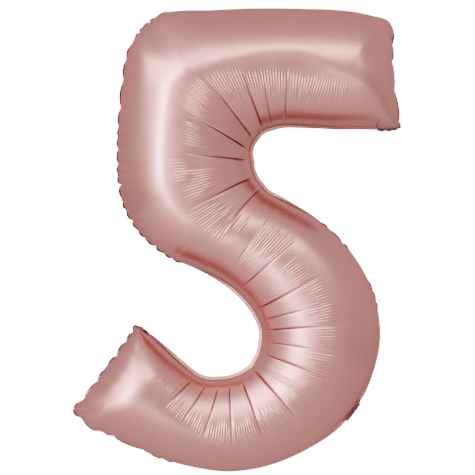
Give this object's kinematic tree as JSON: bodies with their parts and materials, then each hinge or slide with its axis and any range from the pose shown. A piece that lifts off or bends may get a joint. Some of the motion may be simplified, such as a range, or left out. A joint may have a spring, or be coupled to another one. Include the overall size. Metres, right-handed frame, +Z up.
{
  "type": "foil number balloon",
  "caption": "Gas-filled foil balloon in the shape of the figure five, two welded sheets of satin metallised film with a folding filling neck and a flat film valve.",
  "frame": {"origin": "hanging point: outer edge of the top seam, on the seam plane between the two sheets", "axes": "+Z up, -Y the front of the figure, +X to the right as the figure is read"},
  "size_m": [0.6, 0.1916, 0.8563],
  "materials": {
    "foil_film": "satin rose-gold metallised film, soft broad highlights",
    "film_weld": "satin, film melted together and pressed flat",
    "valve_film": "clear, slightly milky polyethylene film"
  },
  "bodies": {
    "envelope": {"front_foil_panel": "foil_film", "back_foil_panel": "foil_film", "seam_weld": "film_weld", "valve_front_film": "valve_film", "valve_back_film": "valve_film", "valve_front_seal": "film_weld", "valve_back_seal": "film_weld"},
    "neck": {"neck_front_ply": "foil_film", "neck_back_ply": "foil_film", "neck_upper_weld": "film_weld", "neck_lower_weld": "film_weld", "neck_valve_front_film": "valve_film", "neck_valve_back_film": "valve_film"}
  },
  "joints": [
    {"name": "neck_fold", "type": "hinge", "parent": "envelope", "child": "neck", "pos_m": [0.21061, 0, -0.74745], "axis": [-0.601, 0, -0.7993], "range_deg": [0, 180]}
  ]
}
